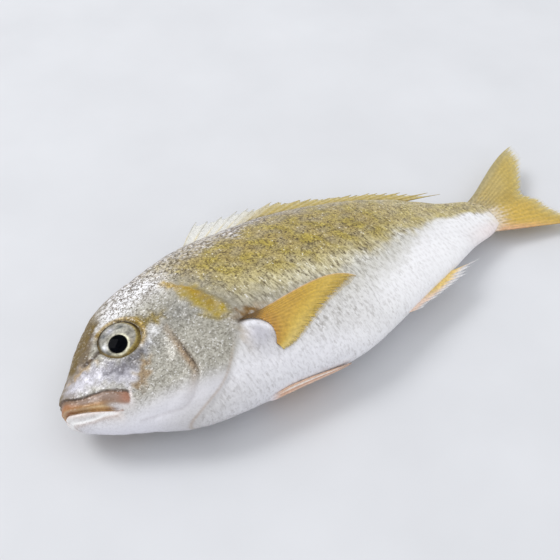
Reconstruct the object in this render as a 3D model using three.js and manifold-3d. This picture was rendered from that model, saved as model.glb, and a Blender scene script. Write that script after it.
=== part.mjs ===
// A whole raw sea bream lying on its right flank, as on a fishmonger's slab.
// Millimetres, +Z up. The head points to -X and the back to +Y, so the left flank faces up.
// The fish is one piece: skin, gill covers, eyes and fins are all grown together, so it is one solid.
import * as THREE from "three";
import { mergeVertices } from "three/addons/utils/BufferGeometryUtils.js";
import Module from "manifold-3d";

// Driving dimensions. Places on the fish are measured from the tip of the snout, along and above it.
const rootLength = 250; // snout to the root of the tail fin
const bodyWidth = 44.6; // flank to flank where it is thickest
const restHeight = 20; // the fish's middle plane above the slab: the soft flank under it is pressed flat
const eyeDiameter = 19.6; // across the ball where it meets the skin
const eyeBulge = 2.6; // how far it stands out of the head
const finThickness = 1.1; // at a fin's root
const finEdge = 0.6; // at its free edge
const pectoralFooting = 1.6; // from the flank's skin down to a pectoral fin's buried underside
const originAlong = 158.25; // the frame's origin is under the middle of the whole fish, fins included
const originAbove = 17.1;

const { PI, sin, cos, abs, sign, max, min, exp, hypot, floor } = Math;
const blend = (a, b, t) => a + (b - a) * t;
const smoothStep = (t) => {
  const s = min(max(t, 0), 1);
  return s * s * (3 - 2 * s);
};

// A natural cubic curve through values at k = 0, 1, 2 and so on, as a function of k.
function cubicThrough(values) {
  const last = values.length - 1;
  const bend = new Array(last + 1).fill(0);
  const pivot = new Array(last + 1).fill(0);
  for (let i = 1; i < last; i++) {
    pivot[i] = 4 - (i > 1 ? 1 / pivot[i - 1] : 0);
    const rise = 6 * (values[i - 1] - 2 * values[i] + values[i + 1]);
    bend[i] = rise - (i > 1 ? bend[i - 1] / pivot[i - 1] : 0);
  }
  for (let i = last - 1; i > 0; i--) bend[i] = (bend[i] - bend[i + 1]) / pivot[i];
  return (k) => {
    const i = min(max(floor(k), 0), last - 1);
    const t = k - i;
    const curve = (t * (1 - t) * ((2 - t) * bend[i] + (1 + t) * bend[i + 1])) / 6;
    return (1 - t) * values[i] + t * values[i + 1] - curve;
  };
}

// The body is drawn over ribs, each from the back's edge to the belly's edge: back along, back above, belly
// along and belly above in hundredths of the root length, the half width in hundredths of the body width, and
// the height of the fish's middle plane in hundredths of the rest height.
const ribs = [
  [-0.2, -1.6, -0.2, -1.6, 0, 97.5], // tip of the snout
  [0.7, 1.6, 0.3, -4.6, 11.5, 97.5], // lips
  [3.1, 5.0, 2.4, -7.2, 19, 97.5],
  [6.8, 10.2, 7.2, -10.2, 26, 97.5], // chin
  [11.2, 15.2, 12.4, -12.5, 32, 97.5], // front of the eye
  [16.8, 19.3, 18.4, -15.3, 38, 97.5], // back of the eye
  [24.8, 22.0, 25.2, -16.7, 45, 99], // nape
  [34.0, 24.4, 33.6, -17.0, 49.5, 100], // gill cover
  [44.8, 24.9, 44.0, -16.9, 50, 100], // deepest part
  [56.0, 24.6, 55.2, -16.6, 46, 100],
  [67.2, 22.6, 66.0, -13.5, 38, 97.5], // vent
  [78.0, 19.7, 76.8, -9.5, 28, 90],
  [87.2, 15.8, 86.4, -5.7, 18.5, 77.5], // end of the back fin
  [94.0, 12.2, 93.6, -2.6, 12, 66], // narrowest part of the tail
  [99.4, 10.9, 99.4, -1.0, 8, 57], // root of the tail fin
  [103.6, 8.6, 103.2, 1.2, 3, 52], // end of the scales on the tail fin
];
const lastRib = ribs.length - 1;
const alongRibs = (column, whole) => cubicThrough(ribs.map((rib) => (rib[column] * whole) / 100));
const backAlong = alongRibs(0, rootLength);
const backAbove = alongRibs(1, rootLength);
const bellyAlong = alongRibs(2, rootLength);
const bellyAbove = alongRibs(3, rootLength);
const halfWidth = alongRibs(4, bodyWidth);
const midHeight = alongRibs(5, restHeight);

// The section: the back is a crest, the belly is blunt, and the flanks are fullest above the middle.
const crestPower = 1.12;
const bellyPower = 0.95;
const highFlank = 0.1;

// The point of the plain body at rib number k, at turn v round the section from the back over the left flank.
function bodyPoint(k, v) {
  const c = cos(v);
  const s = sin(v);
  const power = blend(bellyPower, crestPower, (1 + c) / 2);
  const out = halfWidth(k) * sign(s) * abs(s) ** power * (1 + highFlank * c);
  const x = blend(bellyAlong(k), backAlong(k), (1 + c) / 2);
  const y = blend(bellyAbove(k), backAbove(k), (1 + c) / 2);
  return new THREE.Vector3(x, y, midHeight(k) + out);
}

// Halves the stretch from low to high until the rising function there crosses zero.
function crossing(rising, low, high) {
  for (let i = 0; i < 40; i++) {
    const middle = (low + high) / 2;
    if (rising(middle) < 0) {
      low = middle;
    } else {
      high = middle;
    }
  }
  return low;
}

// The flank's height over a place in the side view; flank is 1 for the upper, left one and -1 for the lower.
function flankHeight(x, y, flank) {
  const k = crossing((q) => {
    const [bx, by] = [bellyAlong(q), bellyAbove(q)];
    const [dx, dy] = [backAlong(q) - bx, backAbove(q) - by];
    return dx * (y - by) - dy * (x - bx);
  }, 0.5, lastRib);
  const [bx, by] = [bellyAlong(k), bellyAbove(k)];
  const [dx, dy] = [backAlong(k) - bx, backAbove(k) - by];
  const level = ((x - bx) * dx + (y - by) * dy) / (dx * dx + dy * dy);
  return bodyPoint(k, flank * Math.acos(min(max(2 * level - 1, -1), 1))).z;
}

// The belly's surface at a distance along the fish and a height over the slab.
function bellyPoint(x, z) {
  const k = crossing((q) => bellyAlong(q) - x, 1, lastRib);
  const v = crossing((turn) => z - bodyPoint(k, turn).z, PI / 2, 1.5 * PI);
  return bodyPoint(k, v);
}

// A curve on the head in the side view, through [along, above]. It tells how far a place lies from it,
// positive on the curve's left, and at what share of the curve its nearest point is.
function headLine(places) {
  const curve = new THREE.CatmullRomCurve3(places.map(([x, y]) => new THREE.Vector3(x, y, 0)));
  const steps = curve.getSpacedPoints(48);
  return (x, y) => {
    let best = { distance: Infinity, share: 0 };
    for (let i = 0; i < steps.length - 1; i++) {
      const [a, b] = [steps[i], steps[i + 1]];
      const [ex, ey] = [b.x - a.x, b.y - a.y];
      const t = min(max(((x - a.x) * ex + (y - a.y) * ey) / (ex * ex + ey * ey), 0), 1);
      const [px, py] = [x - a.x - ex * t, y - a.y - ey * t];
      const distance = hypot(px, py);
      if (distance < abs(best.distance)) {
        const side = ex * py - ey * px < 0 ? -1 : 1;
        best = { distance: distance * side, share: (i + t) / (steps.length - 1) };
      }
    }
    return best;
  };
}

// The gill cover's free edge runs from above the gill slit round to the throat.
const gillEdge = headLine([[66, 32], [80, 12], [86.5, 1], [88, -6], [80, -18.5], [67, -32], [46, -38.5]]);
const cheekEdge = headLine([[58.5, 3], [60, -14], [59.5, -24], [50, -32.5], [40, -31], [28, -28]]);
const jawCrease = headLine([[1.5, -1], [8, -6], [17.5, -8.2], [28.5, -14.6], [26, -21]]);
const eyeCentre = [36.4, 11.8];
const finLobe = [93, -20]; // middle of the fleshy root of the pectoral fin
const reliefEnd = 118; // behind this the flanks are smooth

const hump = (distance, width) => exp(-((distance / width) ** 2));
const fadeEnds = (share) => smoothStep(share / 0.12) * smoothStep((1 - share) / 0.12);

// How far the head's bony plates stand out of the plain body, over a place in the side view.
function relief(x, y) {
  if (x > reliefEnd) {
    return 0;
  }
  const gill = gillEdge(x, y);
  const behind = gill.distance;
  const cover = behind < 0 ? 1.4 * hump(behind, 9) : 2 * hump(behind, 1.6) - 0.6 * hump(behind, 4);
  const cheek = cheekEdge(x, y);
  const crease = 0.6 * hump(cheek.distance + 4, 3) - 0.9 * hump(cheek.distance, 1.6);
  const lip = -0.9 * hump(jawCrease(x, y).distance, 1.2);
  const fromEye = hypot(x - eyeCentre[0], y - eyeCentre[1]) - eyeDiameter / 2;
  const socket = 0.8 * hump(fromEye - 3, 2.5) - 0.8 * hump(fromEye - 0.4, 1.3);
  const lobe = 1.6 * hump(hypot((x - finLobe[0]) / 7, (y - finLobe[1]) / 8), 1);
  return cover * fadeEnds(gill.share) + crease * fadeEnds(cheek.share) + lip + socket + lobe;
}

const wasm = await Module();
wasm.setup();

// A closed geometry as a solid that can be joined and cut.
function solidOf(geometry) {
  geometry.deleteAttribute("normal");
  geometry.deleteAttribute("uv");
  const merged = mergeVertices(geometry, 1e-4);
  return new wasm.Manifold(
    new wasm.Mesh({
      numProp: 3,
      vertProperties: merged.attributes.position.array,
      triVerts: new Uint32Array(merged.index.array),
    }),
  );
}

function solidFrom(points, faces) {
  const places = points.flatMap((p) => [p.x, p.y, p.z]);
  const geometry = new THREE.BufferGeometry();
  geometry.setAttribute("position", new THREE.Float32BufferAttribute(places, 3));
  geometry.setIndex(faces.flat());
  return solidOf(geometry);
}

// The body is a closed skin over rings, from the snout back to the last scales on the tail fin. The plates of
// the head stand out on both flanks, and the flank that it lies on is pressed flat against the slab.
function bodySolid() {
  const headRings = 44; // close together over the head's bony plates
  const trunkRings = 23;
  const around = 52;
  const gillRib = 7.4; // behind the gill cover, where the rings spread out
  const snoutCrowding = 1.12;
  const tailPoint = 2; // how far the end of the skin is drawn out past the last ring
  const places = [];
  for (let i = 1; i <= headRings; i++) {
    places.push(gillRib * (i / headRings) ** snoutCrowding);
  }
  for (let i = 1; i <= trunkRings; i++) {
    places.push(gillRib + ((lastRib - gillRib) * i) / trunkRings);
  }
  const points = [bodyPoint(0, 0)];
  for (const k of places) {
    for (let j = 0; j < around; j++) {
      const v = (2 * PI * (j + 0.5)) / around;
      const p = bodyPoint(k, v);
      const onFlank = smoothStep(abs(sin(v)) / 0.5);
      p.z = max(p.z + sign(sin(v)) * relief(p.x, p.y) * onFlank, 0);
      points.push(p);
    }
  }
  const tail = bodyPoint(lastRib, PI / 2);
  points.push(new THREE.Vector3(tail.x + tailPoint, tail.y, midHeight(lastRib)));
  const faces = [];
  const lastRing = places.length - 1;
  const at = (ring, j) => 1 + ring * around + (j % around);
  for (let j = 0; j < around; j++) {
    faces.push([0, at(0, j + 1), at(0, j)]);
    faces.push([points.length - 1, at(lastRing, j), at(lastRing, j + 1)]);
    for (let ring = 0; ring < lastRing; ring++) {
      faces.push([at(ring, j), at(ring + 1, j + 1), at(ring + 1, j)]);
      faces.push([at(ring, j), at(ring, j + 1), at(ring + 1, j + 1)]);
    }
  }
  return solidFrom(points, faces);
}

// A fin is a thin sheet over lines of points from its root to its free edge. Every second line is a ray, and
// those between are the web, which is thinner. The sheet is thickest at the root. The underside of a fin that
// lies on a flank goes down into the flank by its footing.
function finSolid(rays, footing = 0) {
  const webShare = 0.8;
  const [columns, rows] = [rays.length, rays[0].length];
  const upper = [];
  const lower = [];
  for (let c = 0; c < columns; c++) {
    for (let r = 0; r < rows; r++) {
      const p = rays[c][r];
      const along = rays[c][min(r + 1, rows - 1)].clone().sub(rays[c][max(r - 1, 0)]);
      const across = rays[min(c + 1, columns - 1)][r].clone().sub(rays[max(c - 1, 0)][r]);
      const normal = along.cross(across).normalize();
      const thickness = blend(finThickness, finEdge, r / (rows - 1)) * (c % 2 ? webShare : 1);
      const under = p.clone().addScaledVector(normal, -thickness / 2);
      under.z -= footing;
      upper.push(p.clone().addScaledVector(normal, thickness / 2));
      lower.push(under);
    }
  }
  const points = [...upper, ...lower];
  const up = (c, r) => c * rows + r;
  const down = (c, r) => upper.length + up(c, r);
  const faces = [];
  const quad = (a, b, c, d) => faces.push([a, b, c], [a, c, d]);
  for (let c = 0; c < columns - 1; c++) {
    for (let r = 0; r < rows - 1; r++) {
      quad(up(c, r), up(c, r + 1), up(c + 1, r + 1), up(c + 1, r));
      quad(down(c, r), down(c + 1, r), down(c + 1, r + 1), down(c, r + 1));
    }
    quad(up(c, 0), up(c + 1, 0), down(c + 1, 0), down(c, 0));
    quad(up(c, rows - 1), down(c, rows - 1), down(c + 1, rows - 1), up(c + 1, rows - 1));
  }
  for (let r = 0; r < rows - 1; r++) {
    quad(up(0, r), down(0, r), down(0, r + 1), up(0, r + 1));
    quad(up(columns - 1, r), up(columns - 1, r + 1), down(columns - 1, r + 1), down(columns - 1, r));
  }
  const made = solidFrom(points, faces);
  return made.volume() < 0 ? solidFrom(points, faces.map(([a, b, c]) => [a, c, b])) : made;
}

// A fin's rays and the web between them: place gives the point at a share of the way across the fin and from
// its root to its free edge. The web's edge lies further in than the tips of the rays.
function fan(rayCount, rows, webReach, place) {
  const columns = 2 * rayCount - 1;
  return Array.from({ length: columns }, (_, c) =>
    Array.from({ length: rows + 1 }, (_, r) => {
      const reach = c % 2 ? webReach : 1;
      return place(c / (columns - 1), (r / rows) * reach);
    }),
  );
}

const quadratic = (a, b, c, t) => (1 - t) ** 2 * a + 2 * t * (1 - t) * b + t * t * c;

// The back fin and the fin behind the vent lie folded back: each ray sweeps tailwards along the edge of the
// body and rises a little from it.
function foldedFin(fin) {
  const buried = 2; // how deep the root stands in the body
  const curl = 1.25;
  const webReach = 0.82;
  const sweep = cubicThrough(fin.sweeps);
  const rise = cubicThrough(fin.rises);
  return finSolid(
    fan(fin.rayCount, 3, webReach, (a, b) => {
      const k = crossing((q) => fin.along(q) - blend(fin.from, fin.to, a), 1, lastRib);
      const root = new THREE.Vector2(fin.along(k), fin.above(k));
      const ahead = new THREE.Vector2(fin.along(k + 0.05), fin.above(k + 0.05)).sub(root).normalize();
      const outward = new THREE.Vector2(-ahead.y, ahead.x).multiplyScalar(fin.side);
      const back = sweep(a * (fin.sweeps.length - 1)) * b;
      const up = rise(a * (fin.rises.length - 1)) * (1 - (1 - b) ** curl) - buried * (1 - b);
      const p = root.addScaledVector(ahead, back).addScaledVector(outward, up);
      return new THREE.Vector3(p.x, p.y, midHeight(k) - fin.droop * b);
    }),
  );
}

const backFin = {
  along: backAlong,
  above: backAbove,
  side: 1,
  from: 89,
  to: 212,
  rayCount: 23,
  sweeps: [20, 26, 28, 28, 30],
  rises: [14.5, 10, 7.5, 6, 5.5],
  droop: 1,
};

const ventFin = {
  along: bellyAlong,
  above: bellyAbove,
  side: -1,
  from: 167,
  to: 204,
  rayCount: 11,
  sweeps: [15, 20, 22, 24, 25],
  rises: [3, 5, 6.5, 7, 6],
  droop: 2.5,
};

// The tail fin fans out from the scaly root to a forked edge, and its lower lobe droops to the slab.
function tailFin() {
  const webReach = 0.955;
  const rootX = cubicThrough([251.5, 255, 248]);
  const rootY = cubicThrough([23.5, 12, 0.5]);
  const rootZ = cubicThrough([11.4, 11, 11]);
  const tipX = cubicThrough([306.5, 305.5, 301, 295.5, 288.5, 294, 296, 303.5, 317]);
  const tipY = cubicThrough([51, 43.5, 36, 28, 18, 9.5, 1.5, -7.5, -18]);
  const tipZ = cubicThrough([14, 13, 12, 10.5, 9, 8, 7, 5.5, 4.2]);
  return finSolid(
    fan(17, 5, webReach, (a, b) => {
      const bow = 7 * (1 - a) ** 2; // the upper rays curve
      const [x0, y0, z0] = [rootX(2 * a), rootY(2 * a), rootZ(2 * a)];
      const [x1, y1, z1] = [tipX(8 * a), tipY(8 * a), tipZ(8 * a)];
      const x = quadratic(x0, (x0 + x1) / 2, x1, b);
      const y = quadratic(y0, (y0 + y1) / 2 + bow, y1, b);
      return new THREE.Vector3(x, y, quadratic(z0, (z0 + z1) / 2, z1, b));
    }),
  );
}

// A pectoral fin is folded back along the flank from its fleshy root.
function pectoralFin(flank) {
  const rootX = cubicThrough([88, 93.5, 97.5, 100, 100, 98.2]);
  const rootY = cubicThrough([-10, -12, -14.8, -18.8, -23.4, -27.4]);
  const tipX = cubicThrough([153, 148.5, 141.5, 132, 123, 114.5, 107, 100]);
  const tipY = cubicThrough([-10.5, -11.5, -14, -17.8, -22.5, -27, -30, -31]);
  const webReach = 0.96;
  const lift = 0.25;
  const lowest = finThickness / 2 + 0.15;
  const rays = fan(8, 6, webReach, (a, b) => {
    const [x0, y0] = [rootX(5 * a), rootY(5 * a)];
    const [x1, y1] = [tipX(7 * a), tipY(7 * a)];
    const bow = 3.5 * (1 - a);
    const x = quadratic(x0, (x0 + x1) / 2, x1, b);
    const y = quadratic(y0, (y0 + y1) / 2 + bow, y1, b);
    const z = flankHeight(x, y, flank) + flank * (lift + relief(x, y));
    return new THREE.Vector3(x, y, max(z, lowest));
  });
  return finSolid(flank > 0 ? rays.reverse() : rays, pectoralFooting * flank);
}

// A pelvic fin is folded into a narrow blade that lies along the belly, at a height over the slab.
function pelvicFin(height, halfBlade) {
  const from = 84;
  const to = 131;
  const tipGap = 1.2; // the tip stands off the belly
  const webReach = 0.97;
  const spread = cubicThrough([0.75, 1, 0.9, 0.6, 0.12]);
  return finSolid(
    fan(4, 6, webReach, (a, b) => {
      const z = height + halfBlade * spread(4 * b) * (1 - 2 * a);
      const p = bellyPoint(blend(from, to, b), z);
      return p.setY(p.y - tipGap * b);
    }),
  );
}

// The eyeball bulges out of its socket, and looks a little forwards as the side of the head does.
function eyeSolid(flank) {
  const depth = 5.5; // from the ball's middle to its front
  const radius = eyeDiameter / 2 / Math.sqrt(1 - ((depth - eyeBulge) / depth) ** 2);
  const [x, y] = eyeCentre;
  const aside = 3;
  const slope = (flankHeight(x + aside, y, flank) - flankHeight(x - aside, y, flank)) / (2 * aside);
  const ball = new THREE.SphereGeometry(1, 20, 12);
  ball.rotateX(PI / 2);
  ball.scale(radius, radius, depth);
  ball.rotateY(-Math.atan(slope));
  ball.translate(x, y, flankHeight(x, y, flank) + flank * (eyeBulge - depth));
  return solidOf(ball);
}

// The slit between the lips: a thin wedge cut back from the snout to the corners of the mouth.
function mouthSlit() {
  const line = [[-4, -4.6], [0, -7], [3.5, -9.6], [10.5, -13.2], [19, -18], [22.5, -20.6]];
  const gape = [1, 0.9, 0.8, 0.7, 0.5, 0.15];
  const shape = new THREE.Shape([
    ...line.map(([x, y], i) => new THREE.Vector2(x, y - gape[i] / 2)),
    ...line.map(([x, y], i) => new THREE.Vector2(x, y + gape[i] / 2)).reverse(),
  ]);
  const cut = new THREE.ExtrudeGeometry(shape, { depth: 2 * bodyWidth, bevelEnabled: false });
  cut.translate(0, 0, restHeight - bodyWidth);
  return solidOf(cut);
}

function fishSolid() {
  const [left, right] = [1, -1];
  const grown = [
    foldedFin(backFin),
    foldedFin(ventFin),
    tailFin(),
    pectoralFin(left),
    pectoralFin(right),
    pelvicFin(17.8, 3.8),
    pelvicFin(9.5, 3),
    eyeSolid(left),
    eyeSolid(right),
  ];
  const whole = grown.reduce((fish, piece) => fish.add(piece), bodySolid());
  return whole.subtract(mouthSlit());
}

function geometryOf(solid) {
  const mesh = solid.getMesh();
  const geometry = new THREE.BufferGeometry();
  geometry.setAttribute("position", new THREE.BufferAttribute(new Float32Array(mesh.vertProperties), 3));
  geometry.setIndex(new THREE.BufferAttribute(new Uint32Array(mesh.triVerts), 1));
  geometry.computeVertexNormals();
  return geometry;
}

const wetSkin = new THREE.MeshStandardMaterial({ color: 0xc9c7ad, roughness: 0.35, metalness: 0.2 });
const fish = new THREE.Mesh(geometryOf(fishSolid()), wetSkin);
fish.name = "fish";
fish.position.set(-originAlong, -originAbove, 0);

const group = new THREE.Group();
group.add(fish);
export default group;
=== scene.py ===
import math
import bpy
import numpy as np
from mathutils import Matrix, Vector


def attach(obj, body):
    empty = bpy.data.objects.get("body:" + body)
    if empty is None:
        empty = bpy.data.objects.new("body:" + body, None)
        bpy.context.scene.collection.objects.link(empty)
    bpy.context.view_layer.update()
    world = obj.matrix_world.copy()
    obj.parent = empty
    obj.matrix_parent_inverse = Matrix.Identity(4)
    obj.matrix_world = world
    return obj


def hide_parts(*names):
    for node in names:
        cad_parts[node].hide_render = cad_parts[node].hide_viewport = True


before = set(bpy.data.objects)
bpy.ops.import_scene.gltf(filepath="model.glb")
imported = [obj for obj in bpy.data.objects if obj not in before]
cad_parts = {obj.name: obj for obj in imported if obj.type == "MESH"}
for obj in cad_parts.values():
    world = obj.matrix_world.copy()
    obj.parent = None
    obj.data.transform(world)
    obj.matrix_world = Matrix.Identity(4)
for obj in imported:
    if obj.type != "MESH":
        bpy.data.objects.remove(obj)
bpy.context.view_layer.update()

# The skin. One closed hide over the whole fish, from the snout back to the last scales on the tail fin: bony
# plates and lips on the head, small overlapping scales on the flanks, olive gold on the back and silver white
# below. The fish lies on its right flank, which its own weight has pressed flat on the slab.
# Lengths are in millimetres from the tip of the snout, x tailwards, y to the back, z up from the slab.
ROOT_LENGTH = 250.0  # snout to the root of the tail fin
BODY_WIDTH = 44.6
REST_HEIGHT = 20.0  # the fish's middle plane above the slab
ORIGIN = np.array([158.25, 17.1, 0.0])  # where the frame's origin lies
CREST_POWER, BELLY_POWER = 1.12, 0.95  # a sharp back and a blunt belly
HIGH_FLANK = 0.1  # the flanks are fullest above the middle
EYE_CENTRE = (36.4, 11.8)
EYE_RADIUS = 9.8
HALVINGS = 36  # steps that find a place by halving, to far below a micron

# Back along, back above, belly along and belly above in hundredths of the root length, the half width in
# hundredths of the body width, and the middle plane's height in hundredths of the rest height.
RIBS = np.array([
    [-0.2, -1.6, -0.2, -1.6, 0, 97.5],
    [0.7, 1.6, 0.3, -4.6, 11.5, 97.5],
    [3.1, 5.0, 2.4, -7.2, 19, 97.5],
    [6.8, 10.2, 7.2, -10.2, 26, 97.5],
    [11.2, 15.2, 12.4, -12.5, 32, 97.5],
    [16.8, 19.3, 18.4, -15.3, 38, 97.5],
    [24.8, 22.0, 25.2, -16.7, 45, 99],
    [34.0, 24.4, 33.6, -17.0, 49.5, 100],
    [44.8, 24.9, 44.0, -16.9, 50, 100],
    [56.0, 24.6, 55.2, -16.6, 46, 100],
    [67.2, 22.6, 66.0, -13.5, 38, 97.5],
    [78.0, 19.7, 76.8, -9.5, 28, 90],
    [87.2, 15.8, 86.4, -5.7, 18.5, 77.5],
    [94.0, 12.2, 93.6, -2.6, 12, 66],
    [99.4, 10.9, 99.4, -1.0, 8, 57],
    [103.6, 8.6, 103.2, 1.2, 3, 52],
])
LAST_RIB = len(RIBS) - 1


def natural_cubic(values, k):
    """The natural cubic through values at k = 0, 1, 2 and so on: the straight line between two values, less
    t(1 - t)((2 - t)m + (1 + t)n) / 6, where the bends m, 4m and m of neighbours add up to six second
    differences."""
    values = np.asarray(values, float)
    inner = len(values) - 2
    bends = np.zeros(len(values))
    if inner > 0:
        matrix = 4 * np.eye(inner) + np.eye(inner, k=1) + np.eye(inner, k=-1)
        bends[1:-1] = np.linalg.solve(matrix, 6 * np.diff(values, 2))
    i = np.clip(np.floor(k), 0, inner).astype(int)
    t = k - i
    curve = t * (1 - t) * ((2 - t) * bends[i] + (1 + t) * bends[i + 1]) / 6
    return (1 - t) * values[i] + t * values[i + 1] - curve


def along_ribs(column, whole):
    """One column of the ribs as a smooth function of the rib number."""
    return lambda k: natural_cubic(RIBS[:, column] * whole / 100, k)


back_along, back_above = along_ribs(0, ROOT_LENGTH), along_ribs(1, ROOT_LENGTH)
belly_along, belly_above = along_ribs(2, ROOT_LENGTH), along_ribs(3, ROOT_LENGTH)
half_width, mid_height = along_ribs(4, BODY_WIDTH), along_ribs(5, REST_HEIGHT)


def smooth_step(t):
    """3t² - 2t³, held at 0 below t = 0 and at 1 above t = 1."""
    t = np.clip(t, 0, 1)
    return t * t * (3 - 2 * t)


def rise(value, start, width):
    """The smooth step from 0 at a start up to 1 a width further on."""
    return smooth_step((value - start) / width)


def fall(value, end, width):
    """The smooth step from 1 down to 0 at an end, over the width before it."""
    return smooth_step((end - value) / width)


def hump(distance, width):
    """exp(-(distance / width)²)."""
    return np.exp(-((distance / width) ** 2))


def body_point(k, v):
    """The plain body at rib k, turned v round the section from the back over the upper flank: it stands out
    from the middle plane by the half width times the sine of v to a power, a little more towards the back."""
    c, s = np.cos(v), np.sin(v)
    share = (1 + c) / 2
    power = BELLY_POWER + (CREST_POWER - BELLY_POWER) * share
    out = half_width(k) * np.sign(s) * np.abs(s) ** power * (1 + HIGH_FLANK * c)
    x = belly_along(k) + (back_along(k) - belly_along(k)) * share
    y = belly_above(k) + (back_above(k) - belly_above(k)) * share
    return x, y, mid_height(k) + out


def flank_height(x, y, flank):
    """The plain body's height over a place in the side view: the rib whose line from belly to back passes
    through it is found by halving, and the share of that line gives the turn round the section."""
    low, high = np.full(np.shape(x), 0.5), np.full(np.shape(x), float(LAST_RIB))
    for _ in range(HALVINGS):
        k = (low + high) / 2
        bx, by = belly_along(k), belly_above(k)
        before = (back_along(k) - bx) * (y - by) - (back_above(k) - by) * (x - bx) < 0
        low, high = np.where(before, k, low), np.where(before, high, k)
    bx, by = belly_along(k), belly_above(k)
    dx, dy = back_along(k) - bx, back_above(k) - by
    level = np.clip(((x - bx) * dx + (y - by) * dy) / (dx * dx + dy * dy), 0, 1)
    return body_point(k, flank * np.arccos(2 * level - 1))[2]


def line_gap(x, y, places, pieces=48):
    """How far places in the side view lie from a smooth line, positive on the line's left, and at what share
    of the line the nearest point is: the least distance to its short straight pieces."""
    knots = np.array(places, float)
    k = np.linspace(0, len(knots) - 1, pieces + 1)
    line = np.stack([natural_cubic(knots[:, 0], k), natural_cubic(knots[:, 1], k)], 1)
    start, step = line[:-1], np.diff(line, axis=0)
    px, py = x[..., None] - start[:, 0], y[..., None] - start[:, 1]
    t = np.clip((px * step[:, 0] + py * step[:, 1]) / (step**2).sum(1), 0, 1)
    px, py = px - t * step[:, 0], py - t * step[:, 1]
    gap = np.hypot(px, py)
    near = np.argmin(gap, -1)[..., None]
    side = np.where(step[:, 0] * py - step[:, 1] * px < 0, -1, 1)
    signed = np.take_along_axis(gap * side, near, -1)[..., 0]
    share = (near + np.take_along_axis(t, near, -1))[..., 0] / pieces
    return signed, share


def mottle(x, y, size, seed):
    """Irregular patches about size mm across: the sum of 20 plane waves in random directions, of about unit
    spread."""
    waves = 20
    draw = np.random.default_rng(seed)
    turn, phase = draw.uniform(0, 2 * np.pi, (2, waves))
    pitch = size * draw.uniform(1.2, 2.8, waves)
    wave = (x[..., None] * np.cos(turn) + y[..., None] * np.sin(turn)) / pitch
    return np.cos(2 * np.pi * wave + phase).sum(-1) / math.sqrt(waves / 2)


def fade_ends(share, stretch=0.12):
    """Rises from 0 to 1 and falls back to 0 over a stretch at both ends of a line."""
    return smooth_step(share / stretch) * smooth_step((1 - share) / stretch)


GILL_EDGE = [(66, 32), (80, 12), (86.5, 1), (88, -6), (80, -18.5), (67, -32), (46, -38.5)]
CHEEK_EDGE = [(58.5, 3), (60, -14), (59.5, -24), (50, -32.5), (40, -31), (28, -28)]
JAW_CREASE = [(-1.5, 0.6), (1.5, -1.0), (8, -5.8), (17.5, -8.2), (28.7, -14.6)]
JAW_END = [(28.7, -14.6), (27.8, -17.8), (26, -21)]
MOUTH = [(-4, -4.6), (0, -7), (3.5, -9.6), (10.5, -13.2), (19, -18), (23, -20.4)]
FOREHEAD = [(1, -1.5), (5, 2.5), (14.5, 15), (26.5, 30.5), (37.5, 41)]
LOWER_LIP = [(-1, -9.5), (5.5, -14.9), (12.5, -17.4), (19.6, -20.2)]
NOSTRIL = [(25.3, 10.6), (21.7, 9.8), (18.2, 8.9)]


def beyond_eye(x, y):
    """How far places in the side view lie outside the eye's round edge."""
    return np.hypot(x - EYE_CENTRE[0], y - EYE_CENTRE[1]) - EYE_RADIUS


def head_relief(x, y):
    """How far the bony plates of the head stand out of the plain body, over a place in the side view: a hump
    or a groove of 0.1 to 1.1 mm along each edge, and the slit of the mouth, 2.6 mm deep."""
    behind, share = line_gap(x, y, GILL_EDGE)
    plate = 1.1 * hump(behind, 9)
    step = 1.1 * (1 - smooth_step(behind / 2.6))
    cover = np.where(behind < 0, plate, step) * fade_ends(share) * (1 - 0.6 * rise(share, 0.45, 0.25))
    cheek, share = line_gap(x, y, CHEEK_EDGE)
    depth = 1.1 - 0.95 * rise(share, 0.3, 0.25)
    crease = (0.6 * hump(cheek + 3.5, 3) - depth * hump(cheek, 0.9)) * fade_ends(share, 0.2)
    jaw, share = line_gap(x, y, JAW_CREASE)
    below = 0.8 * hump(jaw - 0.5, 0.8) - 0.35 * hump(jaw + 0.3, 0.6)
    over = np.where(jaw > 0.5, 0.8 * hump(jaw - 0.5, 4), below)
    end, down = line_gap(x, y, JAW_END, 12)
    lip = over * smooth_step(share / 0.08) - 0.5 * hump(end, 0.9) * (1 - rise(down, 0.3, 0.6))
    mouth, share = line_gap(x, y, MOUTH)
    inside = 1 - rise(share, 0.75, 0.25)
    swell = 0.5 * hump(mouth - 2.0, 1.8) + 0.7 * hump(mouth + 1.6, 1.4)
    slit = -2.6 * hump(mouth, 0.7) * inside
    fold = -0.5 * hump(line_gap(x, y, LOWER_LIP, 16)[0], 0.8)
    from_eye = beyond_eye(x, y)
    socket = 0.9 * hump(from_eye - 2.2, 1.7) - 0.9 * hump(from_eye - 0.3, 0.8)
    nostril = -1.0 * hump(line_gap(x, y, NOSTRIL, 12)[0], 0.8)
    lobe = 1.6 * hump(np.hypot((x - 93) / 7, (y + 20) / 8), 1)
    bones = 0.12 * mottle(x, y, 7, 1) + 0.07 * mottle(x, y, 3, 2)
    return cover + crease + lip + swell * inside + slit + fold + socket + nostril + lobe + bones


def linear(colour):
    """sRGB hex to linear: the channel over 12.92 below 0.04045, and ((channel + 0.055) / 1.055)^2.4 above."""
    c = np.array([int(colour[i:i + 2], 16) for i in (1, 3, 5)]) / 255
    return np.where(c <= 0.04045, c / 12.92, ((c + 0.055) / 1.055) ** 2.4)


def painted(ground, coats):
    """A ground colour with coats laid over it in turn, each adding (its colour - the paint) times its cover,
    which is held between 0 and 1."""
    paint = linear(ground)
    for colour, cover in coats:
        paint = paint + (linear(colour) - paint) * np.clip(cover, 0, 1)[..., None]
    return paint


def stroke(x, y, places, width):
    """How strongly a soft line through places covers the skin."""
    return hump(line_gap(x, y, places, 20)[0], width)


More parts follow.
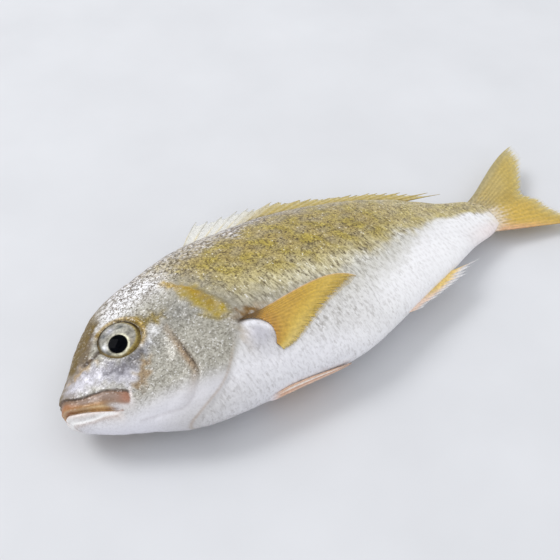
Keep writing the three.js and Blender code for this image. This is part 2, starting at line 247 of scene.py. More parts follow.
GILL_LEAF = [(75, 17), (77.5, 10), (80, 4), (81.5, 0)]  # the yellow mark on top of the gill cover
SNOUT_PLATE = [(9.5, 0.5), (17, 0.5), (26, -3), (31.5, -8)]  # the silver bone between the eye and the lip


def behind_head(gill, y, start):
    """0 on the head and 1 on the trunk, softer low down, where the gill cover's edge is hidden by slime."""
    return smooth_step((gill - start) / (5 + 5 * rise(y, -24, 8)))


def pectoral_root(x, y):
    """How much a place is on the fleshy root of the pectoral fin."""
    return hump(np.hypot((x - 94) / 8.5, (y + 20) / 8.5), 1)


def trunk_coats(x, y, jy, level, patches):
    """Silver white below, greyer towards the head partly as a painted shade on the belly, olive gold on the
    back, and silver grey where the two meet and round the pectoral fin. The olive's lower edge is given along
    the fish, with how softly it ends."""
    edge_x = [60, 88, 110, 132, 149, 177, 192, 210, 225, 240, 252]
    edge = np.interp(x, edge_x, [10, 4, 0.5, -2, -3, 2.5, 6, 11.5, 13.2, 14, 12])
    soft = np.interp(x, edge_x, [15, 15, 14, 13, 13, 11, 7, 4.5, 3, 2.6, 2.4])
    above = (jy - edge) / soft
    uneven = patches * (0.25 - 0.14 * fall(x, 175, 30))
    gold = smooth_step(above / 1.2) * smooth_step(0.35 + 0.6 * mottle(x + 0.6 * y, 0.6 * y, 6, 6))
    dusky = smooth_step(above) * smooth_step(0.2 + 0.5 * mottle(x, y, 5, 8))
    crest = smooth_step((level - 0.8 + 0.02 * patches) / 0.12) * rise(x, 60, 20)
    return [
        # Whiter towards the tail: the greyer front of the belly is partly a painted shade.
        ("#f5f4f7", rise(x, 100, 80)),
        ("#ecdcdb", 0.7 * fall(level, 0.35, 0.3) * rise(x, 222, 30)),
        ("#fdfcff", 0.7 * fall(level, 0.35, 0.2) * rise(x, 120, 40) * fall(x, 235, 25)),
        ("#d6d4d3", 0.9 * smooth_step((y + 34 + 0.14 * (x - 90)) / 14) * fall(x, 178, 50)),
        ("#c4c1b5", 0.8 * rise(above, -2.0, 1.8) * fall(x, 240, 60)),
        ("#a0987e", 0.85 * rise(above, -1.3, 1.2) * fall(x, 150, 40)),
        ("#b8a970", 0.9 * smooth_step((above + 0.55 + uneven) / 1.3)),
        ("#9c8642", 0.85 * smooth_step((above - 0.4 + uneven) / 1.5)),
        ("#ddd4b0", 0.45 * stroke(x, jy, [(112, 4), (126, 1.5), (140, 0.5), (154, 2)], 4.5)),
        ("#a08c1c", 0.6 * gold),
        ("#d2c38f", 0.4 * rise(x, 180, 30) * smooth_step(above / 1.5)),
        ("#8c8478", 0.35 * dusky),
        ("#8f8278", 0.8 * crest * fall(x, 190, 70)),
        ("#705c1e", 0.8 * rise(level, 0.955, 0.02) * rise(x, 92, 10) * fall(x, 205, 40)),
    ]


def head_coats(x, y, jx, jy, level, patches, gill):
    """Silver cheeks, a white brow, a nape crackled dark and white, a brown edge down the forehead, and a
    painted shade under the throat.
    """
    low = smooth_step((-12 - y - 0.15 * x + 6 * (1 - smooth_step(x / 25))) / 14)
    nape = smooth_step((level - 0.86 + 0.03 * patches) / 0.09) * rise(x, 26, 18)
    wide = smooth_step((level - 0.78 + 0.03 * patches) / 0.12) * rise(x, 26, 18)
    crackle = np.maximum(wide * fall(x, 145, 45), 0.8 * stroke(x, y, [(40, 36), (55, 39), (70, 38)], 7))
    crown = rise(level, 0.93, 0.05)
    dark_cells = crackle * smooth_step(2.8 * mottle(x, y, 1.5, 21) - 0.25)
    white_cells = crackle * smooth_step(2.8 * mottle(x, y, 1.5, 22) - 0.45)
    forehead = smooth_step(1.7 * stroke(jx, jy, FOREHEAD, 5.6)) * smooth_step((64 + 4 * patches - x) / 40)
    head = 1 - behind_head(gill, y, -1)
    return [
        ("#a5a195", 0.95 * head),
        ("#86847f", 0.8 * stroke(jx, jy, [(49, 3), (58, 9), (68, 9)], 8)),
        ("#e6e5ee", head * low),
        # Greyer under the throat, which faces the slab: a painted shade.
        ("#bcb9b8", 0.65 * hump(np.hypot((x - 52) / 26, (y + 38) / 8), 1)),
        ("#f3f2f4", 0.95 * stroke(jx, jy, [(31, 25), (42, 31), (52, 34), (63, 34)], 8.5)),
        ("#8d8274", 0.6 * stroke(jx, jy, [(55, 27), (62, 30)], 2.6)),
        ("#a09080", 0.85 * nape * fall(x, 122, 30)),
        ("#f3f2f4", 0.8 * stroke(jx, jy, [(47, 36), (57, 40.5), (68, 39.5)], 4.5)),
        ("#85765f", 0.75 * crown * rise(x, 22, 18) * fall(x, 120, 30)),
        ("#4f3d2c", (0.85 - 0.4 * crown) * dark_cells),
        ("#f6f3f6", (0.85 - 0.6 * crown) * white_cells),
        ("#a4977c", 0.6 * stroke(jx, jy, [(70, 42), (84, 46), (98, 50)], 9) * smooth_step(gill / 4)),
        ("#675000", forehead),
        ("#6f6152", 0.7 * stroke(jx, jy, [(6, -2), (13, 6), (21, 16), (27, 23)], 2.4)),
    ]


def yellow_mark_coats(x, y, jx, jy):
    """Yellow marks behind the eye and along the top of the gill cover, with dark lines at their edges, and a
    painted white highlight below and behind the eye.
    """
    mx, my = (x + jx) / 2, (y + jy) / 2
    leaf = smooth_step(1.5 * stroke(mx, my, GILL_LEAF, 6.2) - 0.35)
    return [
        # White below and behind the eye: a painted highlight.
        ("#eeeef0", 0.8 * stroke(jx, jy, [(43, 0.5), (49, 5), (54, 8.5)], 2.4)),
        ("#85701e", 0.9 * stroke(jx, jy, [(46, 15.5), (51, 13.5), (56, 12)], 3.8)),
        ("#979080", 0.7 * stroke(jx, jy, [(75, 29), (83, 20), (89, 10), (91, 1)], 4.2)),
        ("#a88f1c", leaf * (0.85 + 0.15 * mottle(x, y, 3, 9))),
        ("#8f6e12", 0.5 * leaf * stroke(jx, jy, [(77, 15), (80, 9), (82, 3.5)], 2.4)),
        ("#b08c00", 0.85 * stroke(mx, my, [(67.5, 30.5), (69.5, 26), (74, 20.5), (78, 14.5)], 1.9)),
        ("#6e5f26", 0.5 * stroke(x, y, [(78, 17.5), (83.5, 9), (87, 1), (87, -4)], 1.3)),
        ("#7d6c20", 0.7 * stroke(x, y, [(86.5, -4.6), (82, -5.4), (76, -1.5), (73, 2)], 0.8)),
        ("#8f8c7e", 0.4 * stroke(jx, jy, [(76, -6), (79, -12), (78, -19)], 2.6)),
    ]


def snout_coats(x, y, jx, jy):
    """The silver bone under the eye with its dark creases, a painted shade just under the eye, and the nostril.
    """
    return [
        ("#d0ced9", 0.95 * stroke(jx, jy, SNOUT_PLATE, 5.8)),
        ("#8b8790", 0.5 * stroke(jx, jy, [(13, 4), (20, 3), (28, -1), (33, -8)], 2.2)),
        # Dark grey just under the eye: a painted shade.
        ("#5f5c64", 0.8 * stroke(jx, jy, [(26, -2.8), (34, -3.4), (43, 0.5)], 3.6)),
        ("#94733c", 0.75 * stroke(jx, jy, [(41, -6), (38, -11), (33.5, -15)], 2.4)),
        ("#a68854", 0.65 * stroke(jx, jy, [(20, 8.0), (13, 6), (9.5, 4.5)], 1.5)),
        ("#4e3b2c", 0.85 * stroke(x, y, [(25.5, 10.7), (21.7, 9.8), (17.5, 8.7)], 1.2)),
    ]


def lip_coats(x, y, patches):
    """The upper lip, brown above and orange pink below, between its crease and the mouth, with a drop of 0 at
    the crease and 1 at the mouth; the white lower lip; and the dark lines between them. Painted highlights lie
    along the upper lip's lower edge and the jaw bone's rear end, and a painted shade under the lower lip's
    line."""
    jaw, share = line_gap(x, y, JAW_CREASE)
    mouth = line_gap(x, y, MOUTH + [(26.5, -21.6)])[0]
    corner = line_gap(x, y, JAW_END, 16)[0]
    drop = np.clip(-jaw / (np.maximum(-jaw, 0) + np.maximum(mouth, 0) + 0.1), 0, 1)
    upper = smooth_step(0.5 - jaw / 1.0) * smooth_step(0.5 + mouth / 0.8) * smooth_step(0.5 - corner / 0.8)
    upper = upper * (x < 31) * (1 - 0.75 * rise(x, 17, 7) * hump(mouth, 2.2))
    upper = upper * (1 - rise(x, 15, 7) * rise(drop, 0.55, 0.3))
    crease = hump(jaw + 0.1, 0.36) * rise(share, 0.08, 0.3) * (x < 29)
    lower = smooth_step(0.5 - mouth / 0.6) * hump(mouth + 1.6, 2.2) * fall(x, 24, 4)
    return [
        ("#d5cfd0", 0.9 * stroke(x, y, [(17, -16.5), (22, -18.2), (27, -19.5)], 2.6) * (jaw < 0)),
        ("#846853", upper),
        ("#a8958e", 0.45 * upper * hump(drop - 0.35 + 0.1 * patches, 0.2) * rise(x, 4, 6)),
        ("#a67a48", 0.9 * upper * rise(drop, 0.42, 0.3) * fall(x, 21, 8)),
        ("#a8714a", 0.7 * upper * fall(x, 9, 7) * rise(drop, 0.2, 0.3)),
        # A thin cream line along the upper lip's lower edge: a painted highlight.
        ("#ead3ae", 0.8 * upper * hump(drop - 0.9, 0.1) * fall(x, 21, 6)),
        ("#a9745c", 0.85 * upper * hump(np.hypot(x - 27, y + 16.8), 3.9)),
        ("#e3a834", 0.9 * hump(mouth - 0.4, 0.5) * rise(x, 9, 3) * fall(x, 21, 3)),
        ("#33261f", 0.85 * crease * (1 - 0.4 * share)),
        ("#e6dcd9", 0.9 * lower),
        # Brownish just under the lower lip's white line: a painted shade.
        ("#b39c92", 0.4 * stroke(x, y + 1.1, LOWER_LIP, 0.7)),
        ("#ffffff", 0.85 * stroke(x, y, LOWER_LIP, 0.6) * fall(x, 22, 5)),
        ("#7a4c2c", 0.8 * hump(mouth + 0.1, 0.4) * (x < 23) * (x > -2)),
        # White along the rear edge of the jaw bone: a painted highlight.
        ("#fff4f2", 0.9 * stroke(x, y, [(29.4, -14.6), (28.9, -16.8)], 0.5)),
    ]


def edge_coats(x, y, jx, jy, gill, gill_share):
    """The creases of the cheek and the gill cover; the root of the tail fin, where the scales thin out and
    yellow shows between them; the pectoral fin's root with the dark fold over it and a painted highlight
    along the upper rim of its lobe; and the skin round the eye, yellow and then dark."""
    cheek, share = line_gap(x, y, CHEEK_EDGE)
    end = smooth_step((x - 249 + 1.5 * mottle(x, y, 3, 18)) / 11)
    from_eye = beyond_eye(x, y)
    return [
        ("#a5825a", 0.7 * hump(cheek + 1.8, 1.7) * hump(share - 0.22, 0.22)),
        ("#4a3514", 0.95 * hump(cheek + 0.2, 0.8) * hump(share - 0.2, 0.18)),
        ("#8e8486", 0.2 * hump(cheek, 0.6) * rise(share, 0.4, 0.2)),
        ("#a58c74", 0.5 * hump(gill - 0.4, 0.45) * rise(gill_share, 0.6, 0.15)),
        ("#a58a4a", 0.5 * hump(jx - 87, 2.2) * hump(y + 17, 7) * (gill > -4)),
        ("#e9dfd3", 0.7 * end),
        ("#ad995c", 0.85 * end * rise(y, 10, 6)),
        ("#c5c3cb", 1.1 * pectoral_root(x, y)),
        # White along the upper rim of the pectoral fin's fleshy lobe: a painted highlight.
        ("#f4f4fc", 0.9 * stroke(x, y, [(90, -12.5), (96, -15.2), (99.5, -20)], 1.8)),
        ("#7a581c", 1.3 * hump(np.hypot((jx - 94.5) / 7.0, (jy + 7.6) / 3.0), 1)),
        ("#3f2c12", 0.95 * stroke(x, y, [(87.5, -10.4), (92, -9.7), (98, -10.6)], 1.0)),
        ("#a28226", 0.85 * hump(from_eye - 1.6, 1.4) * rise(x + y, 40, 10)),
        ("#33230f", 0.9 * hump(from_eye - 0.1, 0.7) * rise(x + 2 * y, 50, 14)),
    ]


def skin_paint(x, y, level):
    """The skin's own colour at places in the side view; level is 0 at the belly and 1 at the back. Soft marks
    are laid at places (jx, jy), shaken by up to 1 mm, which roughens their edges."""
    shift = 0.9 - 0.55 * rise(x, 190, 30)
    jx = x + shift * mottle(x, y, 2.5, 3)
    jy = y + shift * mottle(x, y, 2.5, 4)
    patches = mottle(x, y, 11, 5)
    gill, gill_share = line_gap(x, y, GILL_EDGE)
    return painted("#e9e8ee", [
        *trunk_coats(x, y, jy, level, patches),
        *head_coats(x, y, jx, jy, level, patches, gill),
        *yellow_mark_coats(x, y, jx, jy),
        *snout_coats(x, y, jx, jy),
        *lip_coats(x, y, patches),
        *edge_coats(x, y, jx, jy, gill, gill_share),
    ])


def skin_marks(x, y, level):
    """How strongly the skin is specked, how clearly it is scaled, how far its specks are drawn out into dashes
    from back to belly, and how wet it is, each from 0 to 1."""
    trunk = behind_head(line_gap(x, y, GILL_EDGE)[0], y, -2)
    edge = np.interp(x, [60, 110, 149, 192, 225, 252], [8, 2, 0, 7, 15, 12])
    near_fin = hump((x - 120) / 50, 1) * rise(y, -38, 12)
    rear = rise(x, 150, 60)
    above = smooth_step((y - edge + 19 - 12 * rear) / (26 - 12 * rear))
    specks = 0.33 - 0.17 * rear + (0.92 + 0.07 * rear) * above
    specks = np.maximum(np.maximum(specks, 0.6 * near_fin) * trunk, 0.62 * (1 - trunk))
    nape = stroke(x, y, [(44, 30), (57, 36), (70, 38)], 10) * (1 - 0.5 * rise(level, 0.93, 0.05))
    specks = specks + 0.7 * rise(level, 0.78, 0.12) * fall(x, 210, 110) + 0.8 * nape
    chin = smooth_step((-15 - y - 0.1 * x + 5 * (1 - smooth_step(x / 25))) / 9) * (1 - trunk)
    lips = fall(x, 31, 3) * smooth_step(-line_gap(x, y, JAW_CREASE)[0] / 2)
    forehead, front = 1.7 * stroke(x, y, FOREHEAD, 6), fall(x, 56, 25)
    rim = np.maximum(forehead * front, stroke(x, y, SNOUT_PLATE, 6))
    specks = specks * (1 - 0.6 * stroke(x, y, GILL_LEAF, 6.6)) * (1 - 0.85 * np.maximum(chin, 0.8 * lips))
    specks = specks * (1 - 0.45 * rim) * (1 - 0.6 * pectoral_root(x, y))
    scaled = trunk + (1 - trunk) * 0.45 * rise(x, 40, 10) * (1 - chin)
    scaled = scaled * (0.35 + 0.65 * rise(level, 0.04, 0.15))
    drawn = trunk * (0.75 - 0.4 * smooth_step((y - edge) / 12))
    wet = 1 - 0.8 * np.clip(forehead, 0, 1) * front
    return specks, scaled, drawn, wet


def volume_of(places, faces):
    """Six times the volume inside triangles, or quads split in two: the sum of a · (b × c)."""
    total = 0.0
    for last in range(2, faces.shape[1]):
        a, b, c = places[faces[:, 0]], places[faces[:, last - 1]], places[faces[:, last]]
        total += np.einsum("ij,ij->i", a, np.cross(b, c)).sum()
    return total


def new_object(name, data):
    """An object of the data, put in the scene."""
    thing = bpy.data.objects.new(name, data)
    bpy.context.scene.collection.objects.link(thing)
    return thing


def new_piece(name, points, *faces):
    """A smooth-shaded piece in the frame's metres, from points in the fish's millimetres and arrays of quads or
    triangles, which are turned round where they point inwards."""
    places = (points - ORIGIN) / 1000
    if sum(volume_of(places, group) for group in faces) < 0:
        faces = [group[:, ::-1] for group in faces]
    mesh = bpy.data.meshes.new(name)
    mesh.from_pydata(places.tolist(), [], [face for group in faces for face in group.tolist()])
    mesh.shade_smooth()
    return new_object(name, mesh)


def closed_tube(rings, around):
    """Quads between rings of points, and triangles that close each end at a pole. The poles are the first
    point and the last."""
    ring = 1 + np.arange(rings)[:, None] * around + np.arange(around)
    after = np.roll(ring, -1, 1)
    quads = np.stack([ring[:-1], after[:-1], after[1:], ring[1:]], -1).reshape(-1, 4)
    first, last = np.zeros(around, int), np.full(around, rings * around + 1)
    caps = np.concatenate([np.stack([first, after[0], ring[0]], 1), np.stack([last, ring[-1], after[-1]], 1)])
    return quads, caps


def put_colour(piece, name, values):
    """Stores one colour a point."""
    rgba = np.ones((len(piece.data.vertices), 4), np.float32)
    rgba[:, :values.shape[1]] = values
    piece.data.attributes.new(name, "FLOAT_COLOR", "POINT").data.foreach_set("color", rgba.ravel())


def skin_piece():
    """The closed hide: rings close together over the head, more points on the upper flank than on the one
    that is pressed on the slab, and the relief put on along the plain body's own normals."""
    head_rings, trunk_rings, around = 176, 140, 300
    gill_rib, snout_crowding, upper_share = 7.4, 1.12, 0.62
    relief_end = 118  # behind it the body has no bony plates
    k = np.concatenate([
        gill_rib * (np.arange(1, head_rings + 1) / head_rings) ** snout_crowding,
        gill_rib + (LAST_RIB - gill_rib) * np.arange(1, trunk_rings + 1) / trunk_rings,
    ])[:, None]
    upper = round(around * upper_share)
    v = np.pi * np.concatenate([
        (np.arange(upper) + 0.5) / upper,
        1 + (np.arange(around - upper) + 0.5) / (around - upper),
    ])[None, :]
    x, y, z = body_point(k, v)
    p = np.stack([x, y, z], -1)
    down = np.gradient(p, axis=0)
    ring = (np.roll(p, -1, 1) - np.roll(p, 1, 1)) / 2
    normal = np.cross(ring, down)
    normal /= np.linalg.norm(normal, axis=-1, keepdims=True) + 1e-9
    normal *= np.sign((normal * (p - p.mean(1, keepdims=True))).sum(-1, keepdims=True).mean())
    relief = np.zeros(x.shape)
    near = x < relief_end
    relief[near] = head_relief(x[near], y[near])
    relief += 0.12 * mottle(x, y, 9, 7) * rise(x, 95, 20)
    on_flank = smooth_step(np.abs(np.sin(v)) / 0.5)
    snout = 1 - rise(x, 2, 5)
    relief = relief * np.maximum(on_flank, snout * (relief < 0))
    p = p + normal * relief[..., None]
    p[..., 2] = np.maximum(p[..., 2], 0)  # pressed flat on the slab
    level = np.broadcast_to((1 + np.cos(v)) / 2, x.shape)
    arc = np.cumsum(np.linalg.norm(np.diff(p, axis=1, prepend=p[:, :1]), axis=-1), 1)
    arc = np.minimum(arc, arc[:, -1:] - arc)
    nose = np.array([[-0.55, -4.0, mid_height(np.array(0.0))]])
    tail = np.array([[RIBS[-1, 0] * ROOT_LENGTH / 100 + 1.4, 12.3, mid_height(np.array(float(LAST_RIB)))]])
    points = np.concatenate([nose, p.reshape(-1, 3), tail])
    piece = new_piece("skin", points, *closed_tube(len(k), around))
    px, py = points[:, 0], points[:, 1]
    levels = np.concatenate([[0.5], level.ravel(), [0.5]])
    put_colour(piece, "tint", skin_paint(px, py, levels))
    put_colour(piece, "marks", np.stack(skin_marks(px, py, levels), 1))
    uv = np.stack([px, np.concatenate([[0.0], arc.ravel(), [0.0]])], 1)
    corners = np.empty(len(piece.data.loops), np.int32)
    piece.data.loops.foreach_get("vertex_index", corners)
    layer = piece.data.uv_layers.new(name="scale_rows")
    layer.data.foreach_set("uv", uv[corners].astype(np.float32).ravel())
    return piece


def feed(node, inputs):
    """Gives a node its inputs, each a value, a socket or a node. A list gives the first ones in order."""
    for name, value in inputs.items() if isinstance(inputs, dict) else enumerate(inputs):
        if isinstance(value, bpy.types.Node):
            value = value.outputs[0]
        if isinstance(value, bpy.types.NodeSocket):
            node.id_data.links.new(value, node.inputs[name])
        else:
            node.inputs[name].default_value = value


def add_node(tree, kind, settings, inputs):
    """A node of a kind with its settings and inputs."""
    node = tree.nodes.new("ShaderNode" + kind)
    for name, value in settings.items():
        setattr(node, name, value)
    feed(node, inputs)
    return node


def new_material(name):
    """A new material with its node tree and its shader."""
    material = bpy.data.materials.new(name)
    material.use_nodes = True
    return material, material.node_tree, material.node_tree.nodes["Principled BSDF"]


SUM, DIFFERENCE, PRODUCT = {"operation": "ADD"}, {"operation": "SUBTRACT"}, {"operation": "MULTIPLY"}
SCALED_SUM = {"operation": "MULTIPLY_ADD"}  # the first input times the second, plus the third
FRACTION = {"operation": "FRACT"}


def wet_scaled_skin():
    """Fresh fish skin: silver crystals and dark pigment cells under a thin clear slime, over small scales.
    To the eye it is a speckled satin that glints where the slime catches the light; its brightest cells are
    also painted white as glints, a painted highlight, and a painted shade lies along the scales' seams."""
    material, tree, shader = new_material("wet_scaled_skin")
    tint = add_node(tree, "Attribute", {"attribute_name": "tint"}, {})
    marks = add_node(tree, "Attribute", {"attribute_name": "marks"}, {})
    split = add_node(tree, "SeparateColor", {}, {"Color": marks})
    specked, scaled, stretched = split.outputs["Red"], split.outputs["Green"], split.outputs["Blue"]
    place = add_node(tree, "TexCoord", {}, {}).outputs["Object"]

    # Silver crystals and pigment cells 0.7 mm across, each of its own brightness, in clusters of 1.5 mm. On the
    # trunk they are drawn out to 2.4 mm and lie in streaks of 2 by 6 mm, which slant a little tailwards from
    # back to belly. Real cells are finer; these are the finest that show.
    slant = (0, 0, 0.2)
    clusters = add_node(tree, "TexNoise", {}, {"Vector": place, "Scale": 650, "Detail": 3, "Roughness": 0.6})
    grains = add_node(tree, "TexVoronoi", {}, {"Vector": place, "Scale": 1450})
    fine = add_node(tree, "Mapping", {"vector_type": "TEXTURE"}, {
        "Vector": place, "Scale": (1 / 1450, 1 / 420, 1 / 800), "Rotation": slant})
    dashes = add_node(tree, "TexVoronoi", {}, {"Vector": fine, "Scale": 1})
    coarse = add_node(tree, "Mapping", {"vector_type": "TEXTURE"}, {
        "Vector": place, "Scale": (1 / 520, 1 / 160, 1 / 260), "Rotation": slant})
    streaks = add_node(tree, "TexNoise", {}, {"Vector": coarse, "Scale": 1, "Detail": 2, "Roughness": 0.6})
    drawn = add_node(tree, "Mix", {"data_type": "RGBA"}, {
        0: stretched, 6: grains.outputs["Color"], 7: dashes.outputs["Color"]})
    cell = add_node(tree, "SeparateColor", {}, {"Color": drawn.outputs[2]}).outputs["Red"]
    lying = add_node(tree, "Mix", {"data_type": "FLOAT"}, {0: stretched, 2: clusters, 3: streaks})
    lying_part = add_node(tree, "Math", PRODUCT, [lying, 0.58])
    both = add_node(tree, "Math", SCALED_SUM, [cell, 0.42, lying_part])
    bright = add_node(tree, "MapRange", {}, {0: both, 1: 0.5, 2: 0.77})
    dark = add_node(tree, "MapRange", {}, {0: both, 1: 0.5, 2: 0.23})
    # The brightest cells are mixed towards white: painted glints, a painted highlight on the wet scales.
    painted_glint = add_node(tree, "MapRange", {}, {0: cell, 1: 0.9, 2: 0.97, 4: 0.5})
    paler = add_node(tree, "Mix", {"data_type": "RGBA", "blend_type": "SCREEN"}, {
        0: add_node(tree, "Math", PRODUCT, [bright, specked]), 6: tint, 7: tint})
    pigment = add_node(tree, "Mix", {"data_type": "RGBA", "blend_type": "MULTIPLY"}, {
        0: add_node(tree, "Math", PRODUCT, [dark, specked]),
        6: paler.outputs[2], 7: (*linear("#7c7160"), 1)})
    with_painted_glints = add_node(tree, "Mix", {"data_type": "RGBA"}, {
        0: add_node(tree, "Math", PRODUCT, [painted_glint, specked]),
        6: pigment.outputs[2], 7: (0.95, 0.95, 1, 1)})

    # Scales 3.2 mm long and 3.4 mm wide in staggered rows, each a round plate whose free edge covers the one
    # behind. u counts rows along the fish and v scales round it, both shaken by up to half a scale.
    rows = add_node(tree, "SeparateXYZ", {}, {0: add_node(tree, "UVMap", {"uv_map": "scale_rows"}, {})})
    wobble = add_node(tree, "Math", SCALED_SUM, [clusters, 0.9, -0.45])
    u = add_node(tree, "Math", SCALED_SUM, [rows.outputs[0], 1 / 3.2, wobble])
    sway = add_node(tree, "Math", SCALED_SUM, [streaks, 0.9, -0.45])
    v = add_node(tree, "Math", SCALED_SUM, [rows.outputs[1], 1 / 3.4, sway])
    row = add_node(tree, "Math", {"operation": "FLOOR"}, [u])
    within = add_node(tree, "Math", DIFFERENCE, [u, row])
    stagger = add_node(tree, "Math", FRACTION, [add_node(tree, "Math", PRODUCT, [row, 0.5])])
    unstagger = add_node(tree, "Math", DIFFERENCE, [0.5, stagger])
    reaches = []
    for offset, start in ((stagger, 0.8), (unstagger, 1.8)):
        turn = add_node(tree, "Math", FRACTION, [add_node(tree, "Math", SUM, [v, offset])])
        aside = add_node(tree, "Math", DIFFERENCE, [turn, 0.5])
        square = add_node(tree, "Math", PRODUCT, [aside, aside])
        reaches.append(add_node(tree, "Math", SCALED_SUM, [square, -1.6, start]))
    on_own = add_node(tree, "Math", {"operation": "LESS_THAN"}, [within, reaches[0]])
    edge = add_node(tree, "Mix", {"data_type": "FLOAT"}, {0: on_own, 2: reaches[1], 3: reaches[0]})
    covered = add_node(tree, "Math", DIFFERENCE, [edge, within])
    plate = add_node(tree, "Math", DIFFERENCE, [1.0, covered])
    # Just past each scale's free edge, where it lies over the next one, the colour is darkened: a painted shade
    # along the seams.
    seam_shade = add_node(tree, "MapRange", {}, {0: covered, 1: 0.72, 2: 1.0, 4: 0.12})
    shaded = add_node(tree, "Mix", {"data_type": "RGBA", "blend_type": "MULTIPLY"}, {
        0: add_node(tree, "Math", PRODUCT, [seam_shade, scaled]),
        6: with_painted_glints.outputs[2], 7: (*linear("#8d8778"), 1)})

    grain_height = add_node(tree, "Math", PRODUCT, [both, 1.2])
    plate_height = add_node(tree, "Math", PRODUCT, [plate, scaled])
    height = add_node(tree, "Math", SCALED_SUM, [plate_height, 0.8, grain_height])
    bump = add_node(tree, "Bump", {}, {"Height": height, "Distance": 0.00022, "Strength": 0.55})
    gloss = add_node(tree, "MapRange", {}, {0: both, 1: 0.35, 2: 0.65, 3: 0.5, 4: 0.34})
    slime = add_node(tree, "Math", PRODUCT, [marks.outputs["Alpha"], 0.35])
    feed(shader, {
        "Base Color": shaded.outputs[2], "Normal": bump, "Roughness": gloss, "Coat Weight": slime,
        "Coat Roughness": 0.16, "Metallic": 0.1, "IOR": 1.42})
    return material


skin = skin_piece()
skin.data.materials.append(wet_scaled_skin())
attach(skin, "root")
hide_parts("fish")

# The eyes. Each is a ball set in the head with its clear cornea standing 2.6 mm proud, a silver iris with a
# thin pale ring, and a black pupil set a little forwards and down.
EYE_BULGE = 2.6
EYE_DEPTH = 5.5  # from the ball's middle to its front
PUPIL_PLACE = np.array([-1.4, -3.6])  # from the ball's axis
PUPIL_RADIUS = 4.5

# The iris's blotches and one painted highlight: colour, cover, place from the ball's axis and width. The
# palest, on the iris's snout side, is the painted highlight.
IRIS_SPOTS_AND_HIGHLIGHT = (
    ("#eceef2", 0.9, -7.8, -1.6, 1.9), ("#63625e", 0.8, -6.9, -4.9, 1.3), ("#4c4f55", 0.85, -5.6, 4.6, 1.8),
    ("#c8c8d2", 0.8, -1.6, 5.4, 2.0), ("#5f6462", 0.8, 3.4, 4.6, 1.6), ("#c9c8bf", 0.7, 1.4, 3.0, 1.3),
    ("#6d6b62", 0.7, 6.2, 0.6, 1.5), ("#8f8474", 0.7, 4.2, -5.6, 1.9), ("#d6d3c6", 0.6, 4.2, 1.4, 1.0),
    ("#74706a", 0.6, 0.2, 7.4, 1.6),
)


def eye_ball(name, flank):
    """An ellipsoid on a polar grid about its own axis, tilted to look forwards as the side of the head does:
    radius R sin t from the axis and depth cos t along it."""
    rings, around = 71, 120
    radius = EYE_RADIUS / math.sqrt(1 - ((EYE_DEPTH - EYE_BULGE) / EYE_DEPTH) ** 2)
    cx, cy = EYE_CENTRE
    aside = 3  # mm either way, over which the head's slope is taken
    sides = flank_height(np.array([cx - aside, cx, cx + aside]), np.full(3, cy), flank)
    tilt = -math.atan((sides[2] - sides[0]) / (2 * aside))
    t = np.pi * (np.arange(1, rings + 1) / (rings + 1))[:, None] ** 1.15
    turn = 2 * np.pi * np.arange(around)[None, :] / around
    local = np.stack([radius * np.sin(t) * np.cos(turn), radius * np.sin(t) * np.sin(turn),
                      EYE_DEPTH * np.cos(t) + 0 * turn], -1).reshape(-1, 3)
    local = np.concatenate([[[0, 0, EYE_DEPTH]], local, [[0, 0, -EYE_DEPTH]]])
    lx, ly, lz = local[:, 0], local[:, 1], local[:, 2] * flank
    x = cx + lx * math.cos(tilt) + lz * math.sin(tilt)
    z = -lx * math.sin(tilt) + lz * math.cos(tilt)
    points = np.stack([x, cy + ly, sides[1] + flank * (EYE_BULGE - EYE_DEPTH) + z], 1)
    ball = new_piece(name, points, *closed_tube(rings, around))
    px, py = lx - PUPIL_PLACE[0], ly - PUPIL_PLACE[1]
    from_pupil, facing = np.hypot(px, py), np.arctan2(py, px)
    from_axis, turned = np.hypot(lx, ly), np.arctan2(ly, lx)
    rim, outline = rise(from_axis, 7.9, 1.2), rise(from_axis, 9.0, 0.6)
    ring = 0.2 + 0.75 * smooth_step(0.45 + 0.8 * np.cos(facing + 0.7))
    spots_and_highlight = [(colour, cover * hump(np.hypot(lx - bx, ly - by), width))
                for colour, cover, bx, by, width in IRIS_SPOTS_AND_HIGHLIGHT]
    put_colour(ball, "tint", painted("#a8a49a", [
        *spots_and_highlight,
        ("#9a8534", 0.85 * rim * smooth_step(0.5 + 0.8 * np.cos(turned + 0.4))),
        ("#5c5a52", 0.7 * rim * smooth_step(0.5 - 0.8 * np.cos(turned + 0.4))),
        ("#6e5a26", 0.8 * outline),
        ("#2a1a0c", 0.9 * outline * smooth_step(0.45 + 0.9 * np.sin(turned + 0.2))),
        ("#efebd0", ring * hump(from_pupil - 5.1, 0.6)),
        ("#07080c", 1 - rise(from_pupil, PUPIL_RADIUS, 0.4)),
    ]))
    gloss = 0.03 + 0.42 * rise(from_pupil, 4.8, 1.2)
    put_colour(ball, "wetness", np.repeat(gloss[:, None], 3, 1))
    return ball


def clouded(tree, colour, scale, roughness, dark, light):
    """A colour times a factor between dark and light that follows a noise. Gives the noise too."""
    place = add_node(tree, "TexCoord", {}, {}).outputs["Object"]
    noise = add_node(tree, "TexNoise", {}, {
        "Vector": place, "Scale": scale, "Detail": 3, "Roughness": roughness})
    factor = add_node(tree, "MapRange", {}, {0: noise, 1: 0.3, 2: 0.7, 3: dark, 4: light})
    return add_node(tree, "VectorMath", {"operation": "SCALE"}, {0: colour, "Scale": factor}), noise


